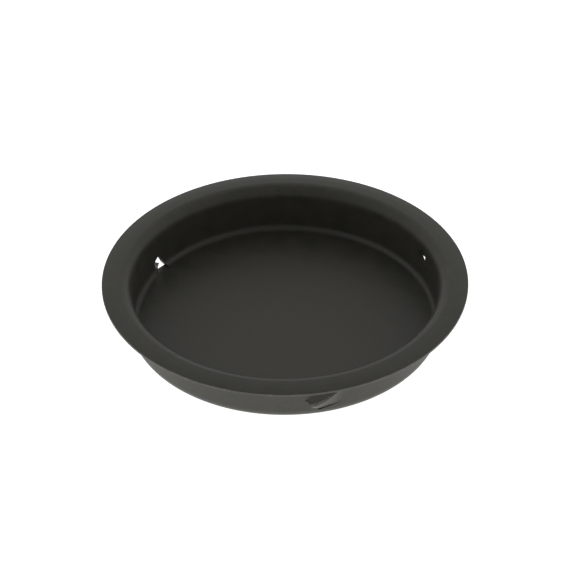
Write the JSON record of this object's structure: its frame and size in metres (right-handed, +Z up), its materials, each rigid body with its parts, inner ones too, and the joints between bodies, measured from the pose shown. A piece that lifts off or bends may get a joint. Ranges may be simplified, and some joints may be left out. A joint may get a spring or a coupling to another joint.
{
  "type": "press-in flush cup",
  "caption": "Shallow round sheet-metal cup with a domed rim and closed floor, held in a panel hole by sprung barbs lanced from its wall.",
  "frame": {"origin": "centre of the underside of the cup's floor, which it stands on", "axes": "+Z up along the cup's axis, out of its mouth; -Y towards the barb that the front view shows"},
  "size_m": [0.054, 0.054, 0.0078],
  "materials": {
    "cup_finish": "satin dark bronze",
    "barb_finish": "satin dark bronze, brighter on the sheared lip"
  },
  "bodies": {
    "cup": {"cup_shell": "cup_finish"},
    "barb_front": {"barb_front": "barb_finish"},
    "barb_rear_right": {"barb_rear_right": "barb_finish"},
    "barb_rear_left": {"barb_rear_left": "barb_finish"}
  },
  "joints": [
    {"name": "barb_front_flex", "type": "hinge", "parent": "cup", "child": "barb_front", "pos_m": [0.00657, -0.02189, 0.0021], "axis": [-0.9294, -0.2788, -0.2419], "range_deg": [0, 39.17], "stiffness_Nm_per_rad": 0.5},
    {"name": "barb_rear_right_flex", "type": "hinge", "parent": "cup", "child": "barb_rear_right", "pos_m": [0.02018, 0.01073, 0.00505], "axis": [-0.0815, 0.1533, -0.9848], "range_deg": [0, 39.17], "stiffness_Nm_per_rad": 0.5},
    {"name": "barb_rear_left_flex", "type": "hinge", "parent": "cup", "child": "barb_rear_left", "pos_m": [-0.01975, 0.01149, 0.00095], "axis": [0.2362, 0.4058, -0.8829], "range_deg": [0, 39.17], "stiffness_Nm_per_rad": 0.5}
  ]
}
